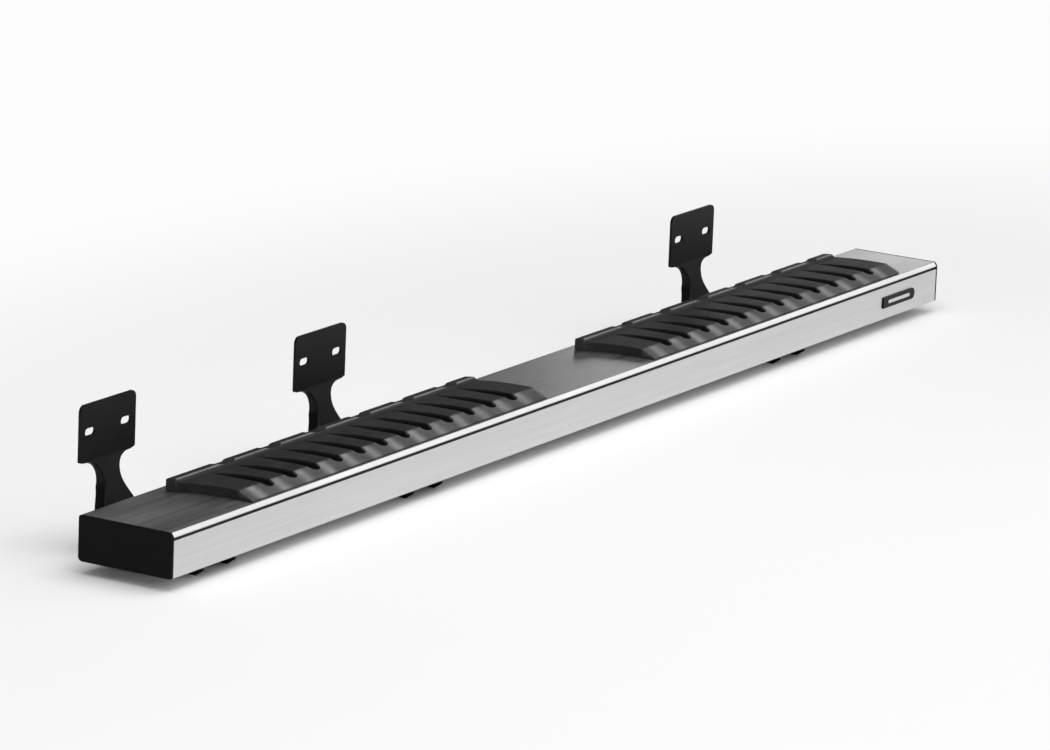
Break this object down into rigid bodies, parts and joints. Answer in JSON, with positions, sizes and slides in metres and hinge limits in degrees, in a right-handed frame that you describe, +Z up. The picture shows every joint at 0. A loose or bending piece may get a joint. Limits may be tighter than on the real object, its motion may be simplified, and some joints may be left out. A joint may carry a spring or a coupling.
{
  "type": "truck side step",
  "caption": "Long narrow extruded board with raised ribbed tread pads, carried low along a truck's cab by waisted pressed arms, to step on when getting in.",
  "frame": {"origin": "middle of the part's length and depth, on the plane that the feet of the arms stand on", "axes": "+X towards the rear of the truck, along the board; +Y inboard, towards the truck; +Z up"},
  "size_m": [2.16, 0.207, 0.21],
  "materials": {
    "brushed_aluminium": "brushed along its length",
    "tread_plastic": "fine moulded grain",
    "cap_plastic": "smooth matt moulding",
    "powder_coat": "satin black powder coat",
    "zinc_plate": "zinc plated",
    "black_zinc": "black zinc",
    "gloss_black": "gloss",
    "satin_silver": "satin"
  },
  "bodies": {
    "root": {"board_extrusion": "brushed_aluminium", "tread_pad_front": "tread_plastic", "tread_pad_rear": "tread_plastic", "end_cap_front": "cap_plastic", "end_cap_rear": "cap_plastic", "badge_plate": "gloss_black", "badge_bar": "satin_silver", "cap_screw_front_1": "black_zinc", "cap_screw_front_2": "black_zinc", "cap_screw_rear_1": "black_zinc", "cap_screw_rear_2": "black_zinc", "arm_front": "powder_coat", "slot_bolt_front_outboard": "zinc_plate", "washer_front_outboard": "zinc_plate", "flange_nut_front_outboard": "zinc_plate", "slot_bolt_front_inboard": "zinc_plate", "washer_front_inboard": "zinc_plate", "flange_nut_front_inboard": "zinc_plate", "arm_middle": "powder_coat", "slot_bolt_middle_outboard": "zinc_plate", "washer_middle_outboard": "zinc_plate", "flange_nut_middle_outboard": "zinc_plate", "slot_bolt_middle_inboard": "zinc_plate", "washer_middle_inboard": "zinc_plate", "flange_nut_middle_inboard": "zinc_plate", "arm_rear": "powder_coat", "slot_bolt_rear_outboard": "zinc_plate", "washer_rear_outboard": "zinc_plate", "flange_nut_rear_outboard": "zinc_plate", "slot_bolt_rear_inboard": "zinc_plate", "washer_rear_inboard": "zinc_plate", "flange_nut_rear_inboard": "zinc_plate"}
  },
  "joints": []
}
